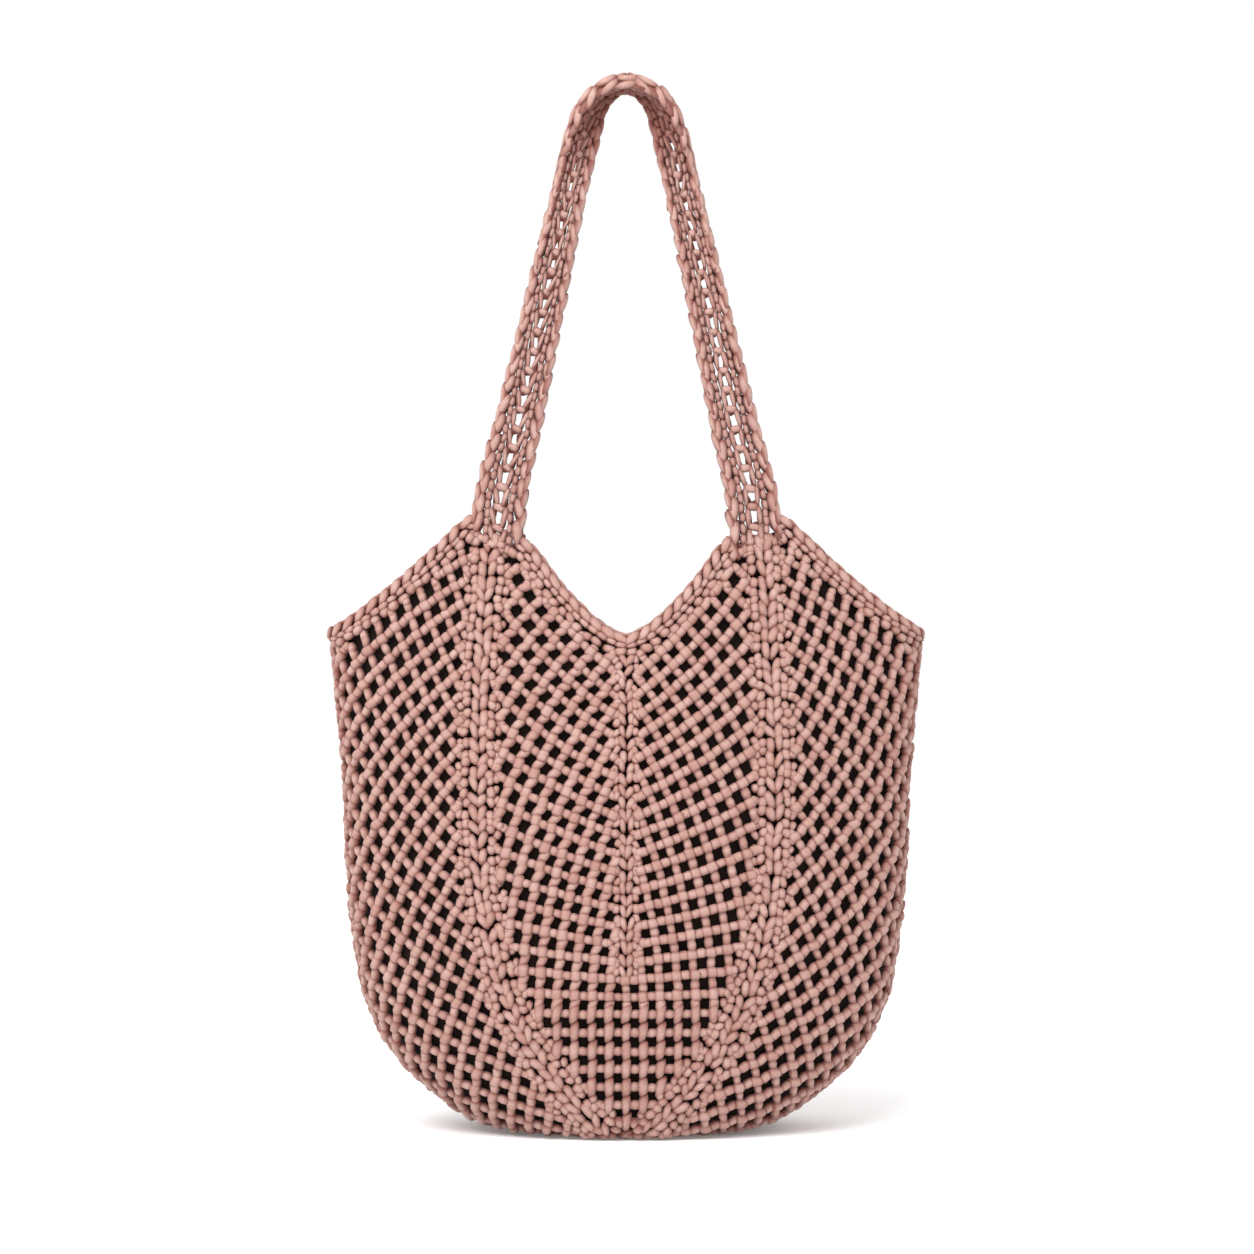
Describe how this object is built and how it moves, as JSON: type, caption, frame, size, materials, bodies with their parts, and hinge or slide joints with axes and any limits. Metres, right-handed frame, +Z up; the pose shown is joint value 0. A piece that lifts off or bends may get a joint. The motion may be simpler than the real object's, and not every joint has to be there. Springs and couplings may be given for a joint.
{
  "type": "crochet tote bag",
  "caption": "Open-topped crochet net tote bag with a V-necked rim, flat base, dark lining and two long slotted shoulder straps.",
  "frame": {"origin": "middle of the flat base, on the ground", "axes": "+Z up along the straps, -Y towards the front face, +X to the right seen from the front"},
  "size_m": [0.4018, 0.1442, 0.707],
  "materials": {
    "yarn": "matt dusty rose cotton yarn, crocheted",
    "lining": "matt dark brown woven cotton"
  },
  "bodies": {
    "root": {"front_net": "yarn", "back_net": "yarn", "base_net": "yarn", "side_seam_left": "yarn", "side_seam_right": "yarn", "neck_edging_front": "yarn", "neck_edging_back": "yarn", "side_edging_left": "yarn", "side_edging_right": "yarn", "front_strap": "yarn", "back_strap": "yarn", "lining": "lining"}
  },
  "joints": []
}
